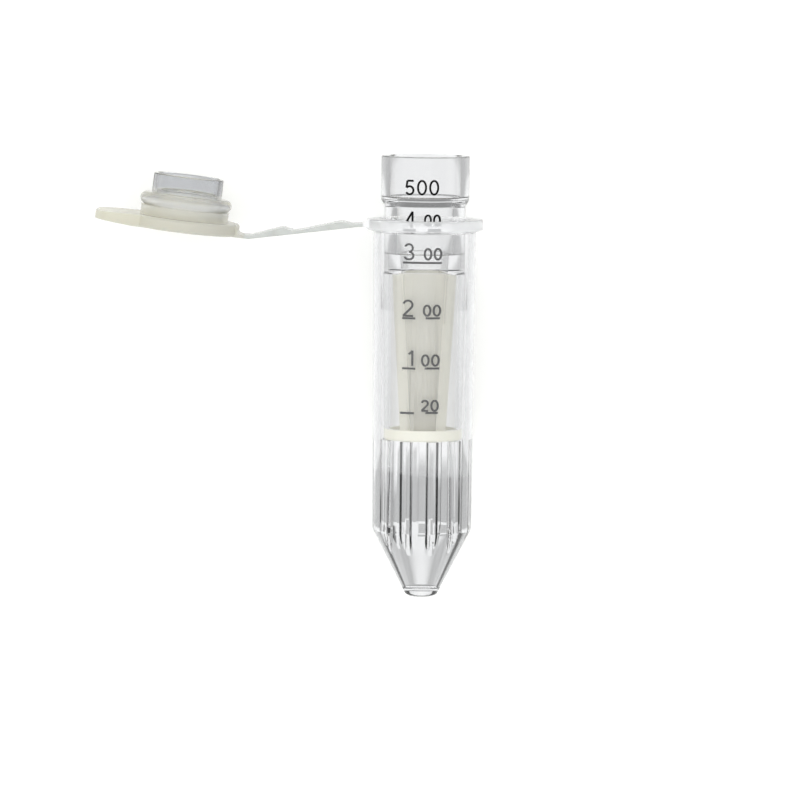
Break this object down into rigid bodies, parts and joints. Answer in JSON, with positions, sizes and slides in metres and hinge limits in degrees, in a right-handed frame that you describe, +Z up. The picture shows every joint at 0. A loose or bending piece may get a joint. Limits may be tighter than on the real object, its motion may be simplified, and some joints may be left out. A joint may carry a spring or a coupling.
{
  "type": "centrifugal filter tube",
  "caption": "Ribbed conical collection tube with a strapped snap cap, holding a clear filter unit whose sample channel runs between two upright membranes.",
  "frame": {"origin": "on the surface the tube lies on, under the middle of the whole part", "axes": "+Y along the tube towards its mouth, +X from the open cap across to the tube, +Z up off the surface"},
  "size_m": [0.0414, 0.0475, 0.0125],
  "materials": {
    "clear_polypropylene": "moulded clear polypropylene, frosted above the ribs",
    "natural_polypropylene": "moulded natural polypropylene, milky and a little glossy",
    "clear_styrenic": "polished clear styrenic moulding",
    "cellulose_membrane": "matte cellulose film",
    "cream_support": "moulded cream polymer"
  },
  "bodies": {
    "tube": {"collection_tube": "clear_polypropylene", "filter_housing": "clear_styrenic", "channel_frame": "clear_styrenic", "membrane_left": "cellulose_membrane", "membrane_right": "cellulose_membrane", "support_left": "cream_support", "support_right": "cream_support", "filter_base": "cream_support"},
    "inner_link": {"strap_inner_link": "natural_polypropylene"},
    "outer_link": {"strap_outer_link": "natural_polypropylene"},
    "cap": {"cap": "natural_polypropylene"}
  },
  "joints": [
    {"name": "strap_root_hinge", "type": "hinge", "parent": "tube", "child": "inner_link", "pos_m": [0.00731, 0.01625, 0.00619], "axis": [0.0096, 0.0288, -0.9995], "range_deg": [-40, 77.29]},
    {"name": "strap_middle_hinge", "type": "hinge", "parent": "inner_link", "child": "outer_link", "pos_m": [0.00105, 0.01548, 0.00611], "axis": [0.0096, 0.0288, -0.9995], "range_deg": [-30, 42.35]},
    {"name": "cap_hinge", "type": "hinge", "parent": "outer_link", "child": "cap", "pos_m": [-0.00436, 0.01485, 0.00604], "axis": [0.0096, 0.0288, -0.9995], "range_deg": [-30, 53.86]}
  ]
}
